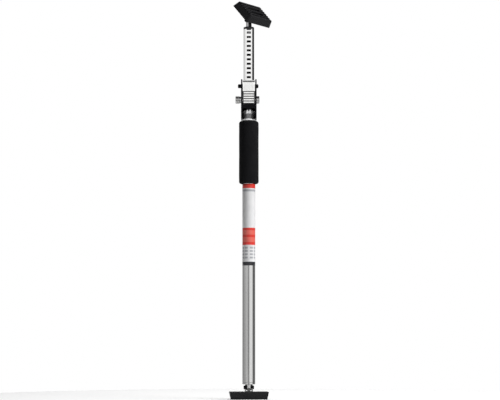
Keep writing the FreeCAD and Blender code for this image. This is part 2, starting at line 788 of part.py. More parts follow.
def lock_lever():
    body = new_body("lock_lever")
    half = s.lever_width / 2
    inside = half - s.lever_sheet
    face = s.pivot_depth - s.lever_face_depth
    back = face + s.lever_sheet
    lip_low = s.tooth_rise - s.lever_sheet / 2
    lip_high = s.tooth_rise + s.lever_sheet / 2
    ear = s.lever_ear_radius
    side = [
        (face, -s.lever_tail), (back, -s.lever_tail), (back, -s.lever_ear_drop), (ear, -ear), (ear, ear / 2),
        (back + s.lever_sheet, lip_high), (face, lip_high),
    ]
    add_pad(body, "YZ_Plane", side, s.lever_width, symmetric=True)
    hollow = rectangle(back, 2 * ear, -2 * s.lever_tail, 2 * lip_high)
    add_pocket(body, "YZ_Plane", polygons=[hollow], depth=2 * inside, symmetric=True)
    tip = s.pivot_depth - s.ratchet_diameter / 2 + s.tooth_reach
    tooth = rectangle(face, tip, lip_low, lip_high)
    add_pad(body, "YZ_Plane", tooth, s.tooth_width, symmetric=True)
    for number in range(int(s.lever_rib_count.value)):
        top = -s.lever_tail + s.lever_rib_pitch * number + s.lever_rib_width
        rib = rectangle(face - s.lever_rib_height, face, top - s.lever_rib_width, top)
        add_pad(body, "YZ_Plane", rib, s.lever_width - 2 * s.lever_sheet, symmetric=True)
    groove_top = lip_high - s.lip_groove_drop
    groove_low = groove_top - s.lip_groove_height
    groove = rectangle(face, face + s.lip_groove_depth, groove_low, groove_top)
    add_pocket(body, "YZ_Plane", polygons=[groove])
    panel_low = s.lever_rib_pitch * s.lever_rib_count.value - s.lever_tail
    panel = rectangle(face, face + s.panel_depth, panel_low, groove_low - s.panel_margin)
    add_pocket(body, "YZ_Plane", polygons=[panel], depth=s.lever_width - 2 * s.lever_rail, symmetric=True)
    add_pocket(body, "YZ_Plane", circles=[((0, 0), s.lever_pin_diameter + 2 * s.pin_gap)])
    settle(body, (0, -s.pivot_depth, lever_pivot_z))


def lever_spring():
    """A torsion spring round the lever pin: one leg behind the lever's face, one towards the ratchet tube.

    It is one sweep of the wire along leg, coil and leg. Each leg leaves the coil at a tangent, at the angle
    that brings its tip to its seat; the second one meets the tube when the lever is pressed right in.
    """
    wire = float(s.spring_wire)
    leg = float(s.spring_leg)
    radius = float(s.lever_pin_diameter) / 2 + float(s.slide_gap) + wire / 2
    reach = math.hypot(radius, leg)
    lean = math.atan2(leg, radius)
    to_face = float(s.lever_face_depth - s.pivot_depth - s.lever_sheet - s.seat_gap) - wire / 2
    to_tube = float(s.pivot_depth - ratchet_clear) - wire / 2
    face_angle = lean - math.acos(to_face / reach)
    tube_angle = math.acos(to_tube / reach) - lean + math.radians(LEVER_TRAVEL)
    turn = 2 * math.pi * s.spring_turns.value + math.pi + tube_angle - face_angle

    pitch = wire + float(s.slide_gap)
    climb = pitch / (2 * math.pi)
    length = climb * turn
    start = Vector(radius, 0, 0)
    onward = Vector(0, radius, climb).normalize()
    tip = start - onward * leg
    end = Vector(radius * math.cos(turn), radius * math.sin(turn), length)
    leaving = Vector(-radius * math.sin(turn), radius * math.cos(turn), climb).normalize()
    coil = Part.makeHelix(pitch, length, radius)
    path = Part.Wire([Part.makeLine(tip, start)] + coil.Edges + [Part.makeLine(end, end + leaving * leg)])
    section = Part.Wire(Part.Circle(tip, onward, wire / 2).toShape())
    spring = path.makePipeShell([section], True, True)

    across = Vector(0, -math.cos(face_angle), math.sin(face_angle))
    upward = Vector(0, math.sin(face_angle), math.cos(face_angle))
    base = Vector(length / 2, -float(s.pivot_depth), float(lever_pivot_z))
    made_of("lever_spring", spring, Placement(base, Rotation(across, upward, Vector(-1, 0, 0), "XYZ")))


# Clamp screw with its knob and nut

def clamp_screw():
    radius = s.clamp_screw_diameter / 2
    left = s.housing_width / 2 + s.clamp_knob_length - s.knob_edge
    right = s.housing_width / 2 + s.seat_gap + s.clamp_nut_length
    profile = [(-left, 0), (right, 0), (right, radius), (-left, radius)]
    turned("clamp_screw", profile, base=(0, -s.pivot_depth, clamp_z), axis="H_Axis")


def clamp_knob():
    bore = s.clamp_screw_diameter / 2 + s.seat_gap
    radius = s.clamp_knob_diameter / 2
    near = s.housing_width / 2 + s.face_gap
    far = near + s.clamp_knob_length
    edge = s.knob_edge
    waist = near + s.clamp_knob_length / 5
    profile = [
        (-near, bore), (-near, radius - edge), (-waist, radius - edge), (-waist - edge, radius),
        (edge - far, radius), (-far, radius - edge), (-far, bore),
    ]
    body = turned("clamp_knob", profile, axis="H_Axis")
    flutes = []
    for number in range(int(s.knob_flutes.value)):
        angle = 2 * math.pi * number / s.knob_flutes.value
        middle = (radius * math.cos(angle), radius * math.sin(angle))
        flutes.append((middle, s.knob_flute_diameter))
    add_pocket(body, "YZ_Plane", circles=flutes, depth=far - waist, lift=-waist)
    settle(body, (0, -s.pivot_depth, clamp_z))


def clamp_nut():
    bore = s.clamp_screw_diameter / 2 + s.pin_gap
    radius = s.clamp_knob_diameter / 2
    near = s.housing_width / 2 + s.seat_gap
    far = near + s.clamp_nut_length
    edge = s.knob_edge
    profile = [(near, bore), (far, bore), (far, radius - edge), (far - edge, radius), (near, radius)]
    turned("clamp_nut", profile, base=(0, -s.pivot_depth, clamp_z), axis="H_Axis")


# Build every sub-part

foot_turn = Rotation(Vector(0, 0, 1), FOOT_SWIVEL) * Rotation(Vector(1, 0, 0), 180)
top_swivel = Rotation(Vector(0, 0, 1), TOP_SWIVEL)
top_turn = top_swivel * Rotation(Vector(1, 0, 0), TOP_TILT)
foot_pin_point = Vector(0, 0, float(foot_pin_z))
top_pin_point = Vector(0, 0, float(top_pin_z))

pad_set("foot", Placement(foot_pin_point, foot_turn))
neck("foot", s.foot_neck_length, Placement(foot_pin_point, foot_turn))
foot_plug()
inner_tube()
lock_plug()
lock_spindle()
lock_sleeve()
lock_nut()
outer_tube()
foam_grip()
head_collar()
collar_rivets()
lock_housing()
guide_shoes()
lever_pin()
lock_lever()
lever_spring()
clamp_screw()
clamp_knob()
clamp_nut()
ratchet_tube()
ratchet_glide()
ratchet_cap()
neck("top", s.top_neck_length, Placement(top_pin_point, top_swivel))
pad_set("top", Placement(top_pin_point, top_turn))
doc.recompute()

for item in doc.Objects:
    if "Invalid" in item.State or "Error" in item.State:
        raise RuntimeError(f"{item.Name} failed: {item.State}")
for part in subparts:
    if part.Shape.isNull() or not part.Shape.isValid() or not part.Shape.Solids:
        raise RuntimeError(f"{part.Label} has no valid solid")

os.makedirs("parts", exist_ok=True)
for part in subparts:
    part.Shape.exportStep(f"parts/{part.Label}.step")
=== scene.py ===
# %% [markdown]
# Telescopic ceiling support.
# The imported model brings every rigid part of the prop: pads, brackets, tubes, lock and lever.
# This lesson dresses it. It sets up a camera and a small studio, gives each part the finish it has on the
# real thing, and adds the pieces that are better drawn than machined: the foam grip, the printed film on
# the tube, the rolled bead at the tube's end, the domes of the riveted pin and the nib of the cap.

# %% Load the frame
import json
import math

import bpy
import numpy as np
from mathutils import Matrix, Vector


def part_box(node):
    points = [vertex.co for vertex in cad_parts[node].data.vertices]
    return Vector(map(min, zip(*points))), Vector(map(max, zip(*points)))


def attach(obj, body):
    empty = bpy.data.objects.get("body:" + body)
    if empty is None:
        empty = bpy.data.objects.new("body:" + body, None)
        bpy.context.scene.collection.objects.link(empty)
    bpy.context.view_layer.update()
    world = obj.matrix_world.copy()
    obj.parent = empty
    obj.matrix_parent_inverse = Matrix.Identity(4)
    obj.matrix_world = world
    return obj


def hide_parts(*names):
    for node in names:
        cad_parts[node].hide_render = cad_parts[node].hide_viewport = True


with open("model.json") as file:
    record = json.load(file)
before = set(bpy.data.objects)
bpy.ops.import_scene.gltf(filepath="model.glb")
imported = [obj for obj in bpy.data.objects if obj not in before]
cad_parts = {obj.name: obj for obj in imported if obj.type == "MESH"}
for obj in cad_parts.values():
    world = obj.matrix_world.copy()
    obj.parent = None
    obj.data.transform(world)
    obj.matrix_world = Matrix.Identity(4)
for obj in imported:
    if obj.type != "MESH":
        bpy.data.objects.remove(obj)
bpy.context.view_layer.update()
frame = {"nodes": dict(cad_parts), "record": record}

# %% [markdown]
# The camera comes first.
# The prop is seen square on from a low stand: the foot is edge on, the upper pad is seen from below. A long
# lens keeps the tube's sides nearly parallel. The pitch and the focal length were solved from the heights
# of the foot, the grip and the slots, so no lens shift is needed.

# %% Camera
PHOTO_WIDTH = 500
FOCAL_PIXELS = 1508.7
SENSOR_WIDTH = 36.0
CAMERA_PLACE = (0.0026, -3.3, 0.12)
CAMERA_PITCH = 5.441

eye = bpy.data.cameras.new("eye")
eye.sensor_width = SENSOR_WIDTH
eye.lens = SENSOR_WIDTH * FOCAL_PIXELS / PHOTO_WIDTH
eye_object = bpy.data.objects.new("eye", eye)
eye_object.location = CAMERA_PLACE
eye_object.rotation_euler = (math.radians(90 + CAMERA_PITCH), 0, 0)
bpy.context.scene.collection.objects.link(eye_object)
bpy.context.scene.camera = eye_object
print("lens:", round(eye.lens, 1), "mm")

# %% [markdown]
# Small helpers keep the node code readable. One makes a node and fills or links its sockets, one mixes two
# colours by a mask, and one spreads a value over a new range. Sockets that stay the same all over a surface
# are set on the shader itself.

# %% Node helpers
MIX_MASK, MIX_LOW, MIX_HIGH, MIXED_COLOUR = 0, 6, 7, 2


def add(tree, kind, sockets=None, **settings):
    """Makes one node; a socket given as an output is linked, and any other value is set."""
    node = tree.nodes.new(kind)
    for key, value in settings.items():
        setattr(node, key, value)
    for key, value in (sockets or {}).items():
        if isinstance(value, bpy.types.NodeSocket):
            tree.links.new(value, node.inputs[key])
        else:
            node.inputs[key].default_value = value
    return node


def blend_colour(tree, mask, low, high):
    """Colour low where the mask is 0, high where it is 1."""
    sockets = {MIX_MASK: mask, MIX_LOW: low, MIX_HIGH: high}
    return add(tree, "ShaderNodeMix", sockets, data_type="RGBA").outputs[MIXED_COLOUR]


def spread(tree, value, low, high, to_low=0.0, to_high=1.0, smooth=False):
    """Maps value from low..high to the new range, held at its ends."""
    ranges = {"Value": value, "From Min": low, "From Max": high, "To Min": to_low, "To Max": to_high}
    kind = "SMOOTHSTEP" if smooth else "LINEAR"
    return add(tree, "ShaderNodeMapRange", ranges, interpolation_type=kind).outputs[0]


def work(tree, operation, first, second=0.0):
    """The result of one arithmetic step on one or two values."""
    return add(tree, "ShaderNodeMath", {0: first, 1: second}, operation=operation).outputs[0]


def noise(tree, vector, scale, detail):
    """Soft noise between 0 and 1."""
    return add(tree, "ShaderNodeTexNoise", {"Vector": vector, "Scale": scale, "Detail": detail}).outputs[0]


def rgb(red, green, blue):
    """A colour with full cover, as the sockets want it."""
    return (red, green, blue, 1.0)


def grey(level):
    """A colour with the same level in all three channels."""
    return rgb(level, level, level)


print("node helpers ready")

# %% [markdown]
# A studio is mostly what a shiny tube reflects. Here it is three rings of panels, each given by the compass
# angle from the camera's side. The low ring, which the long tube mirrors, has a grey wall on the left, one
# narrow dark strip for the gap beside the camera, a white panel in front on the right and a black flag on the
# right. The high ring, which the upper half of the prop mirrors, is brighter. The ring below belongs to views
# from above. The other way, a photograph of a room, would need a file.

# %% Panels round the prop
LOW_PANELS = [
    (-180, 0.45), (-150, 0.32), (-113, 0.26), (-86, 0.38), (-63, 0.44), (-43, 0.52), (-20, 0.52), (-13, 0.20),
    (0, 0.20), (9, 0.60), (22, 0.88), (58, 0.92), (86, 0.12), (128, 0.12), (150, 0.45), (180, 0.45),
]
HIGH_PANELS = [
    (-180, 0.45), (-140, 0.52), (-118, 0.64), (-88, 0.86), (-66, 1.05), (-35, 1.16), (35, 1.16), (68, 1.12),
    (86, 0.02), (160, 0.02), (172, 0.30), (180, 0.45),
]
BELOW_PANELS = [
    (-180, 0.70), (-140, 0.80), (-105, 0.70), (-85, 0.16), (-60, 0.22), (-40, 0.75), (-12, 0.85), (-4, 0.30),
    (6, 0.30), (14, 0.85), (50, 0.80), (70, 0.25), (95, 0.14), (115, 0.60), (150, 0.80), (180, 0.70),
]


def panel_ring(tree, way, panels):
    """A ramp of grey levels round the compass, from pairs of angle and level, for a way out from the prop.

    Blender keeps the stops in order of their place, so the levels are set once all the places are.
    """
    sides = add(tree, "ShaderNodeSeparateXYZ", {0: way}).outputs
    bearing = work(tree, "ARCTAN2", sides[0], work(tree, "MULTIPLY", sides[1], -1.0))
    ramp = add(tree, "ShaderNodeValToRGB", {0: spread(tree, bearing, -math.pi, math.pi)})
    stops = ramp.color_ramp.elements
    while len(stops) < len(panels):
        stops.new(0.5)
    for stop, (angle, level) in zip(stops, panels):
        stop.position = 0.5 + angle / 360
    for stop, (angle, level) in zip(stops, panels):
        stop.color = grey(level)
    return ramp.outputs[0]


print("panels:", len(LOW_PANELS), "low,", len(HIGH_PANELS), "high,", len(BELOW_PANELS), "below")

# %% [markdown]
# The world mixes the rings by how steeply a ray rises or falls, with a dim ceiling overhead. The camera
# itself sees plain white paper. Matt surfaces get only a share of this light, because lamps light them; with
# all of it the black parts would turn grey.

# %% World
LOW_TO_HIGH = (0.06, 0.14)
TO_CEILING = (0.36, 0.58)
TO_BELOW = (-0.02, -0.12)
CEILING_LEVEL = 0.07
TABLE_LEVEL = 0.12
DIFFUSE_SHARE = 0.42

world = bpy.data.worlds.new("studio")
bpy.context.scene.world = world
world.use_nodes = True
air = world.node_tree
air.nodes.clear()
ray = add(air, "ShaderNodeTexCoord").outputs["Generated"]
rise = add(air, "ShaderNodeSeparateXYZ", {0: ray}).outputs[2]
path = add(air, "ShaderNodeLightPath").outputs
low_ring, high_ring = panel_ring(air, ray, LOW_PANELS), panel_ring(air, ray, HIGH_PANELS)
walls = blend_colour(air, spread(air, rise, *LOW_TO_HIGH), low_ring, high_ring)
walls = blend_colour(air, spread(air, rise, *TO_CEILING, smooth=True), walls, grey(CEILING_LEVEL))
below = blend_colour(air, path["Is Diffuse Ray"], panel_ring(air, ray, BELOW_PANELS), grey(TABLE_LEVEL))
walls = blend_colour(air, spread(air, rise, *TO_BELOW, smooth=True), walls, below)
sky = blend_colour(air, path["Is Camera Ray"], walls, grey(1.0))
strength = spread(air, path["Is Diffuse Ray"], 0.0, 1.0, 1.0, DIFFUSE_SHARE)
glow = add(air, "ShaderNodeBackground", {"Color": sky, "Strength": strength})
add(air, "ShaderNodeOutputWorld", {"Surface": glow.outputs[0]})
bpy.context.scene.view_settings.view_transform = "Standard"
print("world nodes:", len(air.nodes))

# %% [markdown]
# Two soft lamps light the matt surfaces: a large one on the right in front, and one overhead. They are hidden
# from mirror rays, so that the metals show the panels only. One hard lamp would be simpler, but the pads and
# the foam would lose their form in its shadow.

# %% Lamps
def soft_lamp(name, place, aim, size, watts):
    """A square lamp at a place, turned so that it shines at the aim."""
    lamp = bpy.data.lights.new(name, "AREA")
    lamp.shape = "SQUARE"
    lamp.size = size
    lamp.energy = watts
    lamp_object = bpy.data.objects.new(name, lamp)
    lamp_object.location = place
    east, north, up = np.array(place) - np.array(aim)
    lean = math.atan2(math.hypot(east, north), up)
    lamp_object.rotation_euler = (lean, 0, math.atan2(east, -north))
    lamp_object.visible_glossy = False
    bpy.context.scene.collection.objects.link(lamp_object)
    return lamp_object


key_lamp = soft_lamp("key_lamp", place=(2.5, -1.5, 1.4), aim=(0, 0, 0.5), size=1.4, watts=94)
top_lamp = soft_lamp("top_lamp", place=(0.1, 0.4, 2.6), aim=(0, 0, 0), size=1.6, watts=62)
print("lamps:", key_lamp.name, top_lamp.name)

# %% [markdown]
# Every piece below is an array of points with faces between neighbours, and every finish starts from one
# shader. These helpers make both. Points as whole arrays are quick, and a formula can be read again later,
# which a shape pushed about by hand can't.

# %% Finish and surface helpers
def plain_finish(name, **sockets):
    """A material with only its shader and output; what is the same all over is set here."""
    finish = bpy.data.materials.new(name)
    finish.use_nodes = True
    tree = finish.node_tree
    tree.nodes.clear()
    shader = add(tree, "ShaderNodeBsdfPrincipled")
    add(tree, "ShaderNodeOutputMaterial", {"Surface": shader.outputs[0]})
    for key, value in sockets.items():
        shader.inputs[key.replace("_", " ")].default_value = value
    return finish, tree, shader


def dress_shader(tree, shader, colour, roughness, height, strength, distance):
    """Links colour and roughness to a shader, and a height to its normal by way of a bump."""
    bump = add(tree, "ShaderNodeBump", {"Strength": strength, "Distance": distance, "Height": height})
    tree.links.new(colour, shader.inputs["Base Color"])
    tree.links.new(roughness, shader.inputs["Roughness"])
    tree.links.new(bump.outputs[0], shader.inputs["Normal"])


def point_numbers(points):
    """The number of each point, in rows and columns."""
    rows, columns = points.shape[:2]
    return np.arange(rows * columns).reshape(rows, columns)


def quads_between(points, rows_close=False, columns_close=False):
    """A quad between each four neighbours; rows or columns that close go on from the last to the first."""
    number = np.pad(point_numbers(points), ((0, int(rows_close)), (0, int(columns_close))), mode="wrap")
    corners = [number[:-1, :-1], number[:-1, 1:], number[1:, 1:], number[1:, :-1]]
    return np.stack(corners, axis=-1).reshape(-1, 4).tolist()


def new_piece(name, points, faces, finish):
    """A smooth-shaded object over an array of points, at the origin, with its finish."""
    mesh = bpy.data.meshes.new(name)
    mesh.from_pydata(points.reshape(-1, 3).tolist(), [], faces)
    mesh.polygons.foreach_set("use_smooth", np.ones(len(mesh.polygons), bool))
    mesh.update()
    mesh.materials.append(finish)
    piece = bpy.data.objects.new(name, mesh)
    bpy.context.scene.collection.objects.link(piece)
    return piece


print("finish and surface helpers ready")

# %% [markdown]
# The floor is a disc of pale paper with a faint mottle. A square grid is pressed into the disc, which leaves
# no hole or pole in the middle. Mirror rays find the ring of panels in it, so that the tubes stay metal from
# above too; a mirrored sheet of white paper would make them look painted.

# %% Floor
FLOOR_RADIUS = 0.75
FLOOR_LINES = 49


def disc_points(radius, lines):
    """A square grid pressed into a disc: x times the root of one less half of y squared, and y alike."""
    across, along = np.meshgrid(np.linspace(-1, 1, lines), np.linspace(-1, 1, lines))
    x = radius * across * np.sqrt(1 - along ** 2 / 2)
    y = radius * along * np.sqrt(1 - across ** 2 / 2)
    return np.stack([x, y, np.zeros_like(x)], axis=-1)


def paper_finish():
    """Pale paper; a mirror ray gets the ring of panels below the horizon instead."""
    finish, tree, shader = plain_finish("pale_floor", Roughness=0.75)
    spot = add(tree, "ShaderNodeTexCoord").outputs["Object"]
    paper = blend_colour(tree, noise(tree, spot, 3.0, 4.0), grey(0.88), grey(0.92))
    mirrored = add(tree, "ShaderNodeLightPath").outputs["Is Glossy Ray"]
    # For mirror rays the floor's colour is a painted reflection: the ring of panels below the horizon.
    seen = blend_colour(tree, mirrored, paper, panel_ring(tree, spot, BELOW_PANELS))
    tree.links.new(seen, shader.inputs["Base Color"])
    return finish


disc = disc_points(FLOOR_RADIUS, FLOOR_LINES)
floor = new_piece("floor", disc, quads_between(disc), paper_finish())
print("floor faces:", len(floor.data.polygons))

# %% [markdown]
# Effects that several finishes share are node groups, made once. A group takes a place on the part and a few
# numbers, and puts out one mask. The helpers here open a group, close it and place it in a material.

# %% Group helpers
def new_group(name, inputs, output):
    """An empty group with number inputs, or a vector where no number is given, and one number going out."""
    group = bpy.data.node_groups.new(name, "ShaderNodeTree")
    for socket, value in inputs.items():
        kind = "NodeSocketVector" if value is None else "NodeSocketFloat"
        made = group.interface.new_socket(name=socket, in_out="INPUT", socket_type=kind)
        if value is not None:
            made.default_value = value
    group.interface.new_socket(name=output, in_out="OUTPUT", socket_type="NodeSocketFloat")
    return group, add(group, "NodeGroupInput").outputs


def close_group(group, value):
    """Sends a value out of the group."""
    add(group, "NodeGroupOutput", {0: value})
    return group


def place_group(tree, group, vector, **values):
    """A group in a material, at a place on the part, with its numbers set; gives the group's mask."""
    node = add(tree, "ShaderNodeGroup", node_tree=group)
    tree.links.new(vector, node.inputs["Vector"])
    for key, value in values.items():
        node.inputs[key].default_value = value
    return node.outputs[0]


print("group helpers ready")

# %% [markdown]
# Marks from making and handling. Drawn streaks run along a tube. Speckle is an even mottling with a soft
# threshold. Hairlines are the thin marks that handling leaves: they follow the lines where a stretched noise
# passes its middle value, broken up by a second noise. Drawn one by one, they would never look accidental.

# %% Streaks, speckle and hairlines
HAIRLINE_LEAN = (0.5, 0.3, 0.4)
HAIRLINE_STRETCH = (1, 1, 0.16)


def make_drawn_streaks():
    """Noise with many cells round the part and few along Z."""
    group, given = new_group("drawn_streaks", {"Vector": None, "Density": 900.0, "Length": 60.0}, "Streak")
    lengthwise = work(group, "DIVIDE", given["Density"], given["Length"])
    pull = add(group, "ShaderNodeCombineXYZ", {0: given["Density"], 1: given["Density"], 2: lengthwise})
    drawn = add(group, "ShaderNodeVectorMath", {0: given["Vector"], 1: pull.outputs[0]}, operation="MULTIPLY")
    return close_group(group, spread(group, noise(group, drawn.outputs[0], 1.0, 3.0), 0.3, 0.7))


def make_speckle():
    """Noise between two thresholds."""
    group, given = new_group("speckle", {"Vector": None, "Scale": 200.0, "Low": 0.45, "High": 0.6}, "Mask")
    cloud = noise(group, given["Vector"], given["Scale"], 5.0)
    return close_group(group, spread(group, cloud, given["Low"], given["High"]))


def make_hairlines():
    """Thin lines where a leaning, stretched noise is near its middle, kept only in patches."""
    inputs = {"Vector": None, "Scale": 60.0, "Width": 0.01, "Amount": 0.5}
    group, given = new_group("hairlines", inputs, "Mask")
    turned = {"Vector": given["Vector"], "Rotation": HAIRLINE_LEAN, "Scale": HAIRLINE_STRETCH}
    lean = add(group, "ShaderNodeMapping", turned).outputs[0]
    offset = work(group, "SUBTRACT", noise(group, lean, given["Scale"], 1.0), 0.5)
    line = spread(group, work(group, "ABSOLUTE", offset), 0.0, given["Width"])
    patches = noise(group, given["Vector"], given["Scale"], 2.0)
    kept = spread(group, work(group, "ADD", patches, given["Amount"]), 0.95, 1.05)
    return close_group(group, work(group, "MULTIPLY", work(group, "SUBTRACT", 1.0, line), kept))


drawn_streaks, speckle, hairlines = make_drawn_streaks(), make_speckle(), make_hairlines()
print("groups:", [group.name for group in bpy.data.node_groups])

# %% [markdown]
# Marks that follow the shape. Rubbed edges compare a rounded normal with the true one, so only sharp corners
# answer. Settled dust lies on what faces up. Both are broken up by noise, as wear and dust are. They could be
# painted by hand, but paint wouldn't follow when a part changes size.

# %% Rubbed edges and dust
def make_rubbed_edges():
    """How far the normal, averaged within a reach, turns away from the true normal, times noise."""
    group, given = new_group("rubbed_edges", {"Vector": None, "Reach": 0.0006, "Scale": 400.0}, "Mask")
    rounded = add(group, "ShaderNodeBevel", {"Radius": given["Reach"]}, samples=6).outputs[0]
    true = add(group, "ShaderNodeNewGeometry").outputs["Normal"]
    agree = add(group, "ShaderNodeVectorMath", {0: rounded, 1: true}, operation="DOT_PRODUCT")
    sharp = spread(group, agree.outputs["Value"], 0.97, 0.80)
    wear = spread(group, noise(group, given["Vector"], given["Scale"], 4.0), 0.42, 0.62)
    return close_group(group, work(group, "MULTIPLY", sharp, wear))


def make_settled_dust():
    """How far a surface faces up, times noise, times an amount."""
    group, given = new_group("settled_dust", {"Vector": None, "Scale": 90.0, "Amount": 0.4}, "Mask")
    normal = add(group, "ShaderNodeNewGeometry").outputs["Normal"]
    facing = add(group, "ShaderNodeSeparateXYZ", {0: normal}).outputs[2]
    upward = spread(group, facing, 0.1, 0.95, smooth=True)
    cover = spread(group, noise(group, given["Vector"], given["Scale"], 6.0), 0.35, 0.7)
    lying = work(group, "MULTIPLY", upward, cover)
    return close_group(group, work(group, "MULTIPLY", lying, given["Amount"]))


rubbed_edges, settled_dust = make_rubbed_edges(), make_settled_dust()
print("groups:", len(bpy.data.node_groups))

# %% [markdown]
# One recipe makes all the bright metals. Streaks and a cloudy bloom vary the colour and the gloss together,
# as they do on plated steel, and hairlines catch the light. A flat grey with one roughness would be quicker,
# but a real tube never shines the same all along.

# %% Recipe for bright metal
SCRATCH_COLOUR = rgb(0.93, 0.93, 0.92)
HAIRLINE_WIDTH = 0.012


def bright_metal(name, light, dark, gloss, streak, bloom, scratch, painted_shade=None, mirror=1.0):
    """Metal whose colour and roughness follow streaks and bloom, with hairlines that catch the light.

    Gloss is a range of roughness, streak a density and a length, bloom a scale, scratch a scale and amount.
    Painted shade is a function giving a mask and a tint by place; there the colour is darkened and the metal
    rougher.
    Mirror is the share of the light that is mirrored; a satin plating scatters the rest.
    """
    finish, tree, shader = plain_finish(name, Metallic=mirror)
    spot = add(tree, "ShaderNodeTexCoord").outputs["Object"]
    lines = place_group(tree, drawn_streaks, spot, Density=streak[0], Length=streak[1])
    cloud = place_group(tree, speckle, spot, Scale=bloom, Low=0.35, High=0.68)
    marks = place_group(tree, hairlines, spot, Scale=scratch[0], Width=HAIRLINE_WIDTH, Amount=scratch[1])
    mixed = work(tree, "ADD", work(tree, "MULTIPLY", lines, 0.5), work(tree, "MULTIPLY", cloud, 0.5))
    base = blend_colour(tree, mixed, rgb(*light), rgb(*dark))
    colour = blend_colour(tree, work(tree, "MULTIPLY", marks, 0.35), base, SCRATCH_COLOUR)
    rough = spread(tree, mixed, 0.0, 1.0, gloss[0], gloss[1])
    rough = work(tree, "ADD", rough, work(tree, "MULTIPLY", marks, 0.12))
    # Painted shade: the colour is darkened towards the tint where the mask is 1, and the roughness raised.
    if painted_shade is not None:
        dull, tint = painted_shade(tree, spot)
        colour = blend_colour(tree, dull, colour, rgb(*tint))
        rough = work(tree, "ADD", rough, work(tree, "MULTIPLY", dull, 0.2))
    height = work(tree, "SUBTRACT", work(tree, "MULTIPLY", lines, 0.4), marks)
    dress_shader(tree, shader, colour, rough, height, strength=0.06, distance=0.0002)
    return finish


print("recipe for bright metal ready")

# %% [markdown]
# Three parts have painted shade in their colour. The ratchet tube is painted dark inside. The collar's hollow,
# between the black cheeks, is painted darker and made rougher. The lever is painted dark between its thumb
# ribs and under its lip. Each is a mask by place on the part, measured from the part's own box where it can
# be.

# %% Painted shade in hollows and grooves
RATCHET_BORE, BORE_STEP = 0.0110, 0.0002
HOLLOW_FROM, HOLLOW_FULL = 0.0140, 0.0133
RIB_ZONE, PANEL_HEIGHT = 0.0265, 0.018
LIP_START, LIP_STOP, LIP_EDGE = 0.0045, 0.0019, 0.0015
GROOVE_DEPTHS = (0.0006, 0.0020)
PANEL_DEPTHS = (0.0012, 0.0016)

lever_low, lever_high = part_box("lock_lever")


def between(tree, value, low, high, soft):
    """1 where the value lies between low and high, 0 outside, with a soft step at each end."""
    onset = spread(tree, value, low - soft, low + soft)
    ending = spread(tree, value, high - soft, high + soft)
    return work(tree, "SUBTRACT", onset, ending)


def from_axis(tree, spot):
    """Distance from the Z axis."""
    flat = add(tree, "ShaderNodeVectorMath", {0: spot, 1: (1.0, 1.0, 0.0)}, operation="MULTIPLY").outputs[0]
    return add(tree, "ShaderNodeVectorMath", {0: flat}, operation="LENGTH").outputs["Value"]


def shaded_inside_of_tube(tree, spot):
    """Painted shade: dark where the distance from the tube's axis is under the radius of its bore."""
    reach = from_axis(tree, spot)
    return spread(tree, reach, RATCHET_BORE + BORE_STEP, RATCHET_BORE - BORE_STEP), (0.03, 0.03, 0.032)


def shaded_collar_hollow(tree, spot):
    """Rougher, and darkened as painted shade, where the distance from the axis is under the radius of the
    collar's rims.
    """
    return spread(tree, from_axis(tree, spot), HOLLOW_FROM, HOLLOW_FULL), (0.24, 0.24, 0.245)


def shaded_lever_grooves(tree, spot):
    """Painted shade between the thumb ribs, under the lip and along the top edge; faintly darker and duller on
    the sunk panel.
    """
    place = add(tree, "ShaderNodeSeparateXYZ", {0: spot}).outputs
    rib_top = lever_low.z + RIB_ZONE
    lip_low, lip_high = lever_high.z - LIP_START, lever_high.z - LIP_STOP
    front = between(tree, place[1], *(lever_low.y + depth for depth in GROOVE_DEPTHS), 0.0001)
    ribs = between(tree, place[2], lever_low.z, rib_top, 0.0002)
    lip = between(tree, place[2], lip_low, lip_high, 0.0002)
    edge = spread(tree, place[2], lip_high, lever_high.z - LIP_EDGE, 0.0, 0.45)
    # Painted shade in the rib gaps, under the lip and half dark along the top edge.
    grooves = work(tree, "MULTIPLY", front, work(tree, "ADD", work(tree, "ADD", ribs, lip), edge))
    sunk = between(tree, place[1], *(lever_low.y + depth for depth in PANEL_DEPTHS), 0.0001)
    panel = between(tree, place[2], rib_top, rib_top + PANEL_HEIGHT, 0.006)
    dull = work(tree, "MULTIPLY", work(tree, "MULTIPLY", sunk, panel), 0.08)
    return work(tree, "ADD", work(tree, "MULTIPLY", grooves, 0.92), dull), (0.07, 0.07, 0.07)


print("lever height:", round((lever_high.z - lever_low.z) * 1000, 1), "mm")

# %% [markdown]
# The long tubes are polished and show fine drawing lines. The ratchet tube, the lever and the small hardware
# are zinc plated: paler, softer in their gloss, with a faint cloudy bloom. The collar has a satin plating
# that scatters about half of its light. The spring and the upper neck are plain steel, darker than the rest.

# %% Bright metals
polished_tube = bright_metal(
    "polished_tube", (0.78, 0.78, 0.77), (0.73, 0.73, 0.73), gloss=(0.11, 0.15),
    streak=(1400.0, 90.0), bloom=45.0, scratch=(70.0, 0.36))
zinc_plate = bright_metal(
    "zinc_plate", (0.68, 0.68, 0.67), (0.54, 0.54, 0.54), gloss=(0.20, 0.30),
    streak=(900.0, 12.0), bloom=120.0, scratch=(120.0, 0.42))
# The ratchet tube's inside is darkened as painted shade.
ratchet_zinc = bright_metal(
    "ratchet_zinc", (0.87, 0.87, 0.86), (0.81, 0.81, 0.81), gloss=(0.14, 0.21),
    streak=(1200.0, 60.0), bloom=80.0, scratch=(90.0, 0.42), painted_shade=shaded_inside_of_tube)
# The lever's rib gaps and lip are darkened as painted shade.
lever_zinc = bright_metal(
    "lever_zinc", (0.96, 0.96, 0.94), (0.88, 0.88, 0.87), gloss=(0.16, 0.24),
    streak=(700.0, 30.0), bloom=150.0, scratch=(110.0, 0.46), painted_shade=shaded_lever_grooves)
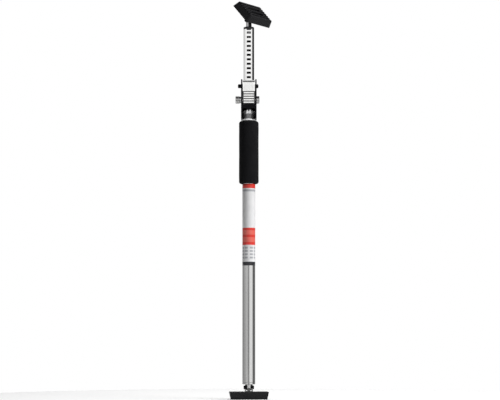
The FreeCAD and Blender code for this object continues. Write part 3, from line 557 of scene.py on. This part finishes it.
# The collar's hollow between the black cheeks is darkened as painted shade.
chromed = bright_metal(
    "chromed", (0.92, 0.92, 0.92), (0.84, 0.84, 0.85), gloss=(0.14, 0.22),
    streak=(800.0, 4.0), bloom=90.0, scratch=(90.0, 0.34), painted_shade=shaded_collar_hollow, mirror=0.45)
wire_steel = bright_metal(
    "wire_steel", (0.52, 0.52, 0.53), (0.40, 0.40, 0.41), gloss=(0.22, 0.34),
    streak=(2000.0, 2.0), bloom=300.0, scratch=(300.0, 0.38))
dark_steel = bright_metal(
    "dark_steel", (0.38, 0.38, 0.385), (0.28, 0.28, 0.285), gloss=(0.18, 0.28),
    streak=(900.0, 10.0), bloom=160.0, scratch=(140.0, 0.36))
print("metals ready")

# %% [markdown]
# One recipe makes the dark coats and mouldings as well: a mottled colour, a fine grain in the bump and, where
# asked, rubbed corners, painted shade in narrow grooves, dust on top, and a place where the coat has gone.
# Painting wear by hand is the other way; masks from the shape follow every part with no extra work.

# %% Recipe for dark coats and mouldings
PAINTED_GROOVE_SHADE = rgb(0.0012, 0.0012, 0.0015)
RUBBED_COLOUR = rgb(0.22, 0.22, 0.23)
DUST_COLOUR = rgb(0.22, 0.21, 0.20)
BARE_STEEL = rgb(0.80, 0.80, 0.79)
RAGGED, FADE = 0.0006, 0.0004


def past_point(tree, spot, point, way):
    """How far a place lies past a point, along a direction."""
    offset = add(tree, "ShaderNodeVectorMath", {0: spot, 1: point}, operation="SUBTRACT").outputs[0]
    return add(tree, "ShaderNodeVectorMath", {0: offset, 1: way}, operation="DOT_PRODUCT").outputs["Value"]


def moulded(name, light, dark, rough, grain, gleam,
            dust=0.0, rubbed=None, bare=None, groove_shade=None, ripple=0.12):
    """A dark coat or moulding: mottled colour, a grainy bump, dust on top and, if asked, rubbed corners.

    Bare is a point and a direction: past that point, along it, the coat has gone and plated steel shows.
    Groove shade is a distance: grooves narrower than that are painted near black by an occlusion mask, as
    painted shade.
    """
    finish, tree, shader = plain_finish(name, Specular_IOR_Level=gleam)
    spot = add(tree, "ShaderNodeTexCoord").outputs["Object"]
    mottle = place_group(tree, speckle, spot, Scale=grain * 0.2, Low=0.35, High=0.65)
    fine = place_group(tree, speckle, spot, Scale=grain, Low=0.3, High=0.7)
    colour = blend_colour(tree, mottle, rgb(*light), rgb(*dark))
    roughness = spread(tree, mottle, 0.0, 1.0, rough[0], rough[1])
    if rubbed is not None:
        edges = place_group(tree, rubbed_edges, spot, Reach=rubbed, Scale=350.0)
        colour = blend_colour(tree, work(tree, "MULTIPLY", edges, 0.4), colour, RUBBED_COLOUR)
    if groove_shade is not None:
        # Painted shade: an occlusion mask darkens narrow grooves to near black.
        near = add(tree, "ShaderNodeAmbientOcclusion", {"Distance": groove_shade}, samples=8, only_local=True)
        unoccluded = spread(tree, near.outputs["AO"], 0.62, 0.95)
        colour = blend_colour(tree, unoccluded, PAINTED_GROOVE_SHADE, colour)
    if dust:
        lying = place_group(tree, settled_dust, spot, Scale=160.0, Amount=dust)
        colour = blend_colour(tree, lying, colour, DUST_COLOUR)
        roughness = work(tree, "ADD", roughness, work(tree, "MULTIPLY", lying, 0.3))
    if bare is not None:
        edge = spread(tree, mottle, 0.0, 1.0, -RAGGED, RAGGED)
        steel = spread(tree, work(tree, "ADD", past_point(tree, spot, *bare), edge), -FADE, FADE)
        colour = blend_colour(tree, steel, colour, BARE_STEEL)
        roughness = work(tree, "SUBTRACT", roughness, work(tree, "MULTIPLY", steel, 0.1))
        tree.links.new(steel, shader.inputs["Metallic"])
    dress_shader(tree, shader, colour, roughness, fine, strength=ripple, distance=0.0003)
    return finish


print("recipe for dark coats and mouldings ready")

# %% [markdown]
# The housing is stoved black paint: low sheen, a slight orange-peel ripple, and a thin line of grey where
# corners have rubbed. The brackets have the same coat, worn to the metal next to their pads. The pads are
# moulded rubber with a fine sandy grain and a little dust. The cap, the shoes and the hidden plugs are nylon.

# %% Dark finishes
BLACK_COAT = {
    "light": (0.006, 0.006, 0.007), "dark": (0.004, 0.004, 0.005), "rough": (0.30, 0.42), "grain": 700.0,
    "rubbed": 0.0004,
}
UPPER_BARE, LOWER_BARE = 0.0062, 0.0030
UPPER_SWIVEL, UPPER_TILT = math.radians(52.6), math.radians(47.5)
UPPER_WAY = (
    math.sin(UPPER_TILT) * math.sin(UPPER_SWIVEL),
    -math.sin(UPPER_TILT) * math.cos(UPPER_SWIVEL),
    math.cos(UPPER_TILT),
)
LOWER_WAY = (0.0, 0.0, -1.0)


def worn_bracket(name, pin, way, bare_from):
    """The black coat of a bracket, worn to the metal from a set distance past its pin, next to the pad."""
    pin_low, pin_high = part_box(pin)
    start = np.array([0, 0, (pin_low.z + pin_high.z) / 2]) + bare_from * np.array(way)
    return moulded(name, gleam=0.16, bare=(tuple(start), way), **BLACK_COAT)


stoved_black = moulded("stoved_black", gleam=0.07, dust=0.02, **BLACK_COAT)
upper_bracket = worn_bracket("upper_bracket_black", "top_hinge_pin", UPPER_WAY, UPPER_BARE)
lower_bracket = worn_bracket("lower_bracket_black", "foot_hinge_pin", LOWER_WAY, LOWER_BARE)
# The pads' rib grooves get painted shade from the occlusion mask.
pad_rubber = moulded(
    "pad_rubber", (0.014, 0.014, 0.015), (0.010, 0.010, 0.011), rough=(0.45, 0.62), grain=1600.0, gleam=0.13,
    dust=0.02, groove_shade=0.006, ripple=0.25)
black_nylon = moulded(
    "black_nylon", (0.030, 0.030, 0.032), (0.020, 0.020, 0.022), rough=(0.42, 0.55), grain=1100.0, gleam=0.3,
    dust=0.06, rubbed=0.0004)
grey_nylon = moulded(
    "grey_nylon", (0.56, 0.56, 0.57), (0.48, 0.48, 0.49), rough=(0.45, 0.58), grain=1100.0, gleam=0.4,
    rubbed=0.0004)
slate_nylon = moulded(
    "slate_nylon", (0.23, 0.23, 0.235), (0.17, 0.17, 0.175), rough=(0.42, 0.55), grain=1100.0, gleam=0.3,
    rubbed=0.0003)
print("dark finishes ready")

# %% [markdown]
# Each imported part names the stuff it is made of, so one table gives most parts their finish. Four parts have
# a finish of their own: the two brackets for wear that depends on where they sit, the ratchet tube and the
# lever for painted shade. Only the material slots change: the parts stay where they are, and their meshes stay
# as they were packed.

# %% Finish each imported part
FINISH_OF_SLOT = {
    "black_rubber": pad_rubber, "black_paint": stoved_black, "zinc_steel": zinc_plate,
    "bright_tube": polished_tube, "chrome": chromed, "spring_steel": wire_steel, "dark_steel": dark_steel,
    "black_nylon": black_nylon, "grey_nylon": grey_nylon, "foam": pad_rubber,
}
FINISH_OF_PART = {
    "ratchet_tube": ratchet_zinc, "lock_lever": lever_zinc,
    "top_bracket": upper_bracket, "foot_bracket": lower_bracket,
}
for row in frame["record"]["subparts"]:
    part = frame["nodes"][row["node"]]
    finish = FINISH_OF_PART.get(row["node"], FINISH_OF_SLOT[row["material_slot"]])
    for place in part.material_slots:
        place.material = finish

# %% [markdown]
# Foam shows its cells close up: small pits under a dull skin. A Voronoi texture gives both the colour and the
# bump: the pits' middles are painted dark as painted shade, and the walls between them are painted paler as a
# painted highlight. A little dust lies on the shoulder. Real pits in the mesh would need millions of faces.

# %% Foam finish
CELL_SCALE = 1350.0
CELL_WALL_HIGHLIGHT = rgb(0.020, 0.020, 0.021)
FOAM_DUST = grey(0.10)


def foam_finish():
    """Black skin with painted highlight on the cell walls and painted shade in the pits, patches of gloss, a
    cell bump.
    """
    finish, tree, shader = plain_finish(
        "closed_cell_foam", Sheen_Weight=0.02, Sheen_Roughness=0.5, Specular_IOR_Level=0.05)
    spot = add(tree, "ShaderNodeTexCoord").outputs["Object"]
    cells = add(tree, "ShaderNodeTexVoronoi", {"Vector": spot, "Scale": CELL_SCALE}).outputs["Distance"]
    patch = place_group(tree, speckle, spot, Scale=60.0, Low=0.35, High=0.7)
    lying = place_group(tree, settled_dust, spot, Scale=120.0, Amount=0.25)
    skin = blend_colour(tree, patch, rgb(0.004, 0.004, 0.005), rgb(0.008, 0.008, 0.009))
    # Painted highlight on the cell walls, painted shade in the pits.
    skin = blend_colour(tree, spread(tree, cells, 0.2, 0.75, 0.0, 0.5), skin, CELL_WALL_HIGHLIGHT)
    skin = blend_colour(tree, lying, skin, FOAM_DUST)
    roughness = spread(tree, patch, 0.0, 1.0, 0.80, 0.95)
    dress_shader(tree, shader, skin, roughness, cells, strength=0.7, distance=0.0006)
    return finish


foam = foam_finish()
print("foam finish nodes:", len(foam.node_tree.nodes))

# %% [markdown]
# The grip is a sleeve of closed-cell foam, soft to the hand. Its surface is a profile carried round the
# tube: up the outside with a rounded shoulder at each end, and back down the bore. The outside swells and
# dips by a fraction of a millimetre, as cut foam does, so its edges are not ruler straight. The profile is
# a closed loop and so is the way round, which leaves no seam and no pole to close.

# %% Foam grip
FOAM_AROUND, SIDE_ROWS, BORE_ROWS = 192, 120, 12
TOP_ROWS, BOTTOM_ROWS = 14, 10
BORE = 0.01425
TOP_ROUND, BOTTOM_ROUND = 0.0062, 0.0042
CROWN = 0.0006
RING_CLEAR = 0.01455
PLUMP, SWELL = 0.00055, 0.00016
WAVES = [(0.40, 2, 9, 0.0), (0.35, 5, -14, 1.3), (0.25, 3, 31, 0.4)]

foam_low, foam_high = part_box("foam_grip")
bottom, top, outside = foam_low.z, foam_high.z, foam_high.x


def arc(centre, radius, start, stop, count):
    """An arc of a profile between two angles in degrees, about a centre given as (radius, height)."""
    angle = np.radians(np.linspace(start, stop, count))
    return np.stack([centre[0] + radius * np.cos(angle), centre[1] + radius * np.sin(angle)], axis=-1)


def carried_round(profile, count):
    """Points of a profile (radius, height) carried round the Z axis: rows go back along it, columns round."""
    angle = np.linspace(0, 2 * np.pi, count, endpoint=False)[None, :]
    radius, height = profile[::-1, 0][:, None], profile[::-1, 1][:, None]
    return np.stack([radius * np.cos(angle), radius * np.sin(angle), height + 0 * angle], axis=-1)


def foam_profile():
    """A loop: a quarter circle, a straight side, a larger quarter circle, then in and down the bore."""
    up = np.linspace(bottom + BOTTOM_ROUND, top + CROWN - TOP_ROUND, SIDE_ROWS)[1:-1]
    down = np.linspace(top, bottom, BORE_ROWS)
    return np.concatenate([
        arc((outside - BOTTOM_ROUND, bottom + BOTTOM_ROUND), BOTTOM_ROUND, -90, 0, BOTTOM_ROWS),
        np.stack([np.full_like(up, outside), up], axis=-1),
        arc((outside - TOP_ROUND, top + CROWN - TOP_ROUND), TOP_ROUND, 0, 90, TOP_ROWS),
        [[RING_CLEAR, top]],
        np.stack([np.full_like(down, BORE), down], axis=-1),
    ])


def swollen(points):
    """Points pushed out by a fixed amount and three sine waves of angle and height, less towards the bore."""
    angle = np.arctan2(points[..., 1], points[..., 0])
    level = (points[..., 2] - bottom) / (top - bottom)
    swell = sum(share * np.sin(turns * angle + climb * level + phase) for share, turns, climb, phase in WAVES)
    soft_part = np.clip((np.hypot(points[..., 0], points[..., 1]) - BORE) / (outside - BORE), 0, 1)
    give = 1 + soft_part * (SWELL * swell + PLUMP) / outside
    return points * np.stack([give, give, np.ones_like(give)], axis=-1)


points = swollen(carried_round(foam_profile(), FOAM_AROUND))
faces = quads_between(points, rows_close=True, columns_close=True)
grip = new_piece("foam_sleeve", points, faces, foam)
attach(grip, "outer_tube")
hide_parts("foam_grip")
print("foam sleeve:", len(grip.data.polygons), "faces, radius", round(outside * 1000, 1), "mm")

# %% [markdown]
# The print on the tube's film is plain fields of colour only: a red band, a white field, a red panel with
# two pale rules, a white panel with grey bars, and a dark band. Each field is a rectangle on the film's own
# UV map, given in shares of its width and height. A picture would do the same, but it would need a file.

# %% Print on the film
RED, PALE_RED = (0.62, 0.035, 0.025), (0.68, 0.13, 0.10)
WHITE, DULL_WHITE = (0.72, 0.72, 0.72), (0.67, 0.67, 0.68)
GREY, CHARCOAL = (0.36, 0.37, 0.39), (0.018, 0.018, 0.022)
BAR_WIDTH, BAR_HEIGHT = 0.10, 0.022
BAR_LEFTS = (0.10, 0.24, 0.37, 0.53, 0.67, 0.81)
BAR_LOWS = (0.085, 0.125, 0.165, 0.205)
FIELDS = [
    (RED, 0.0, 1.0, 0.945, 1.0), (GREY, 0.0, 1.0, 0.905, 0.930), (RED, 0.0, 1.0, 0.250, 0.460),
    (PALE_RED, 0.06, 0.94, 0.285, 0.345), (PALE_RED, 0.06, 0.94, 0.375, 0.430),
    (CHARCOAL, 0.0, 1.0, 0.0, 0.045),
]
FIELDS += [(GREY, left, left + BAR_WIDTH, low, low + BAR_HEIGHT) for left in BAR_LEFTS for low in BAR_LOWS]


def make_print_field():
    """1 inside a rectangle of the UV map, 0 outside."""
    inputs = {"Vector": None, "Left": 0.0, "Right": 1.0, "Low": 0.0, "High": 1.0}
    group, given = new_group("print_field", inputs, "Mask")
    place = add(group, "ShaderNodeSeparateXYZ", {0: given["Vector"]}).outputs
    inside = work(group, "GREATER_THAN", place[0], given["Left"])
    inside = work(group, "MULTIPLY", inside, work(group, "LESS_THAN", place[0], given["Right"]))
    inside = work(group, "MULTIPLY", inside, work(group, "GREATER_THAN", place[1], given["Low"]))
    inside = work(group, "MULTIPLY", inside, work(group, "LESS_THAN", place[1], given["High"]))
    return close_group(group, inside)


def vinyl_finish(print_field):
    """White vinyl under a thin clear coat, with the fields laid over it one after another, and hairlines."""
    finish, tree, shader = plain_finish("printed_vinyl", Coat_Weight=0.15, Coat_Roughness=0.2)
    wrap = add(tree, "ShaderNodeUVMap", uv_map="wrap").outputs[0]
    spot = add(tree, "ShaderNodeTexCoord").outputs["Object"]
    tone = place_group(tree, speckle, spot, Scale=90.0, Low=0.3, High=0.75)
    ink = blend_colour(tree, tone, rgb(*WHITE), rgb(*DULL_WHITE))
    for colour, left, right, low, high in FIELDS:
        mask = place_group(tree, print_field, wrap, Left=left, Right=right, Low=low, High=high)
        ink = blend_colour(tree, mask, ink, rgb(*colour))
    marks = place_group(tree, hairlines, spot, Scale=110.0, Width=HAIRLINE_WIDTH, Amount=0.38)
    ink = blend_colour(tree, work(tree, "MULTIPLY", marks, 0.25), ink, grey(0.7))
    roughness = spread(tree, tone, 0.0, 1.0, 0.32, 0.44)
    dress_shader(tree, shader, ink, roughness, tone, strength=0.05, distance=0.0002)
    return finish


vinyl = vinyl_finish(make_print_field())
print("fields in the print:", len(FIELDS))

# %% [markdown]
# The film itself is wrapped round the tube below the grip. It is a patch of a cylinder a tenth of a
# millimetre proud of the tube, so it needs no more than an angle and a height for each point. Both also make
# its UV map. A modifier then gives the patch the thickness of vinyl.

# %% Label film
FILM_RADIUS = 0.01412
FILM_COLUMNS, FILM_ROWS = 145, 41
FILM_SPAN = 300.0
FILM_FRONT = -90.0
FILM_THICKNESS = 0.00007
FILM_GAP = 0.0008
film_bottom, film_top = 0.2899, bottom - FILM_GAP


def film_sheet():
    """A patch of a cylinder: the angle grows along the columns and the height along the rows."""
    sweep = np.radians(np.linspace(FILM_FRONT - FILM_SPAN / 2, FILM_FRONT + FILM_SPAN / 2, FILM_COLUMNS))
    angle, height = np.meshgrid(sweep, np.linspace(film_bottom, film_top, FILM_ROWS))
    points = np.stack([FILM_RADIUS * np.cos(angle), FILM_RADIUS * np.sin(angle), height], axis=-1)
    u = (angle - sweep[0]) / (sweep[-1] - sweep[0])
    v = (height - film_bottom) / (film_top - film_bottom)
    return points, np.stack([u.ravel(), v.ravel()], axis=-1)


points, chart = film_sheet()
film = new_piece("label_film", points, quads_between(points), vinyl)
corner = np.zeros(len(film.data.loops), int)
film.data.loops.foreach_get("vertex_index", corner)
film.data.uv_layers.new(name="wrap").data.foreach_set("uv", chart[corner].ravel())
thick = film.modifiers.new("film_thickness", "SOLIDIFY")
thick.thickness = FILM_THICKNESS
thick.offset = -1.0
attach(film, "outer_tube")
print("label film:", round((film_top - film_bottom) * 1000, 1), "mm high")

# %% [markdown]
# The tube's lower end is finished with a rolled bead, a thin raised ring that catches a line of light. It
# is a small half circle carried round the tube, closed by a smaller one inside the tube's wall. A bevel on
# the tube's edge would be the other way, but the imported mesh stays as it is.

# %% Rolled bead
BEAD_AROUND, BEAD_ROWS, ROOT_ROWS = 144, 13, 5
BEAD_RISE, BEAD_SINK = 0.0040, 0.00025
BEAD_RADIUS, BEAD_ROOT = 0.00075, 0.00020

tube_low, tube_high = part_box("outer_tube")
bead_middle = (tube_high.x - BEAD_SINK, tube_low.z + BEAD_RISE)
raised = arc(bead_middle, BEAD_RADIUS, -90, 90, BEAD_ROWS)
hidden = arc(bead_middle, BEAD_ROOT, 90, -90, ROOT_ROWS)
points = carried_round(np.concatenate([raised, hidden]), BEAD_AROUND)
faces = quads_between(points, rows_close=True, columns_close=True)
bead = new_piece("rolled_bead", points, faces, polished_tube)
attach(bead, "outer_tube")
print("bead faces:", len(bead.data.polygons))

# %% [markdown]
# The lever's pin ends in shallow domes where the press closed it. A dome is an arc carried round the pin's
# own line. Its rows close round, and a small flat face shuts each end, so that no pole of thin triangles
# spoils the highlight.

# %% Pin domes
DOME_AROUND, DOME_ROWS = 48, 12
DOME_INSET, DOME_RISE, DOME_SINK = 0.0006, 0.0011, 0.0002
DOME_TIP, DOME_FULLNESS = 0.02, 0.98


def capped_rows(points):
    """Quads between rows that close round, with a flat face on the first and the last row."""
    number = point_numbers(points)
    return quads_between(points, columns_close=True) + [number[0, ::-1].tolist(), number[-1].tolist()]


def dome_points(middle, way, radius):
    """An ellipse spun about a line along X.

    The height is the rise times the root of one less the fullness times the squared share of the radius.
    """
    share = np.linspace(1, DOME_TIP, DOME_ROWS)
    height = np.concatenate([[-DOME_SINK], DOME_RISE * np.sqrt(1 - DOME_FULLNESS * share ** 2)])[:, None]
    reach = np.concatenate([[1.0], share])[:, None] * radius
    angle = np.linspace(0, 2 * np.pi, DOME_AROUND, endpoint=False)[None, :] * way
    x = middle[0] + way * (height + 0 * angle)
    return np.stack([x, middle[1] + reach * np.cos(angle), middle[2] + reach * np.sin(angle)], axis=-1)


pin_low, pin_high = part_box("lever_pin")
pin_line = ((pin_low.y + pin_high.y) / 2, (pin_low.z + pin_high.z) / 2)
dome_radius = (pin_high.z - pin_low.z) / 2 - DOME_INSET
for label, x, way in (("left", pin_low.x, -1), ("right", pin_high.x, 1)):
    points = dome_points((x, *pin_line), way, dome_radius)
    dome = new_piece(f"pin_dome_{label}", points, capped_rows(points), black_nylon)
    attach(dome, "outer_tube")
print("dome radius:", round(dome_radius * 1000, 2), "mm")

# %% [markdown]
# A moulded cap closes the ratchet tube, and a small nib on its plug snaps into the top slot, which is how
# such caps stay in without glue. The nib is an outline between an oval and a rectangle, pushed out of the
# plug, with a rounded edge and a front that stays just inside the tube's surface.

# %% Snap nib
NIB_AROUND, NIB_EDGE_ROWS = 64, 7
NIB_HALF_WIDTH, NIB_HALF_HEIGHT, NIB_EDGE = 0.0031, 0.0015, 0.0004
NIB_ROOT, NIB_FRONT = 0.0103, 0.0114
SLOT_BELOW_TOP = 0.0087


def nib_points(height):
    """A superellipse of power four in X and Z, carried along -Y, with a quarter circle at its front edge."""
    turn = np.linspace(0, 2 * np.pi, NIB_AROUND, endpoint=False)[None, :]
    across = np.sign(np.cos(turn)) * np.sqrt(np.abs(np.cos(turn)))
    along = np.sign(np.sin(turn)) * np.sqrt(np.abs(np.sin(turn)))
    bend = np.linspace(0, np.pi / 2, NIB_EDGE_ROWS)
    depth = np.concatenate([[NIB_ROOT], NIB_FRONT - NIB_EDGE * (1 - np.sin(bend))])[:, None]
    inset = np.concatenate([[0.0], NIB_EDGE * (1 - np.cos(bend))])[:, None]
    x = (NIB_HALF_WIDTH - inset) * across
    z = height + (NIB_HALF_HEIGHT - inset) * along
    return np.stack([x, -depth + 0 * across, z], axis=-1)


ratchet_low, ratchet_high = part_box("ratchet_tube")
points = nib_points(ratchet_high.z - SLOT_BELOW_TOP)
nib = new_piece("snap_nib", points, capped_rows(points), slate_nylon)
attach(nib, "ratchet_tube")
print("snap nib:", len(nib.data.polygons), "faces")
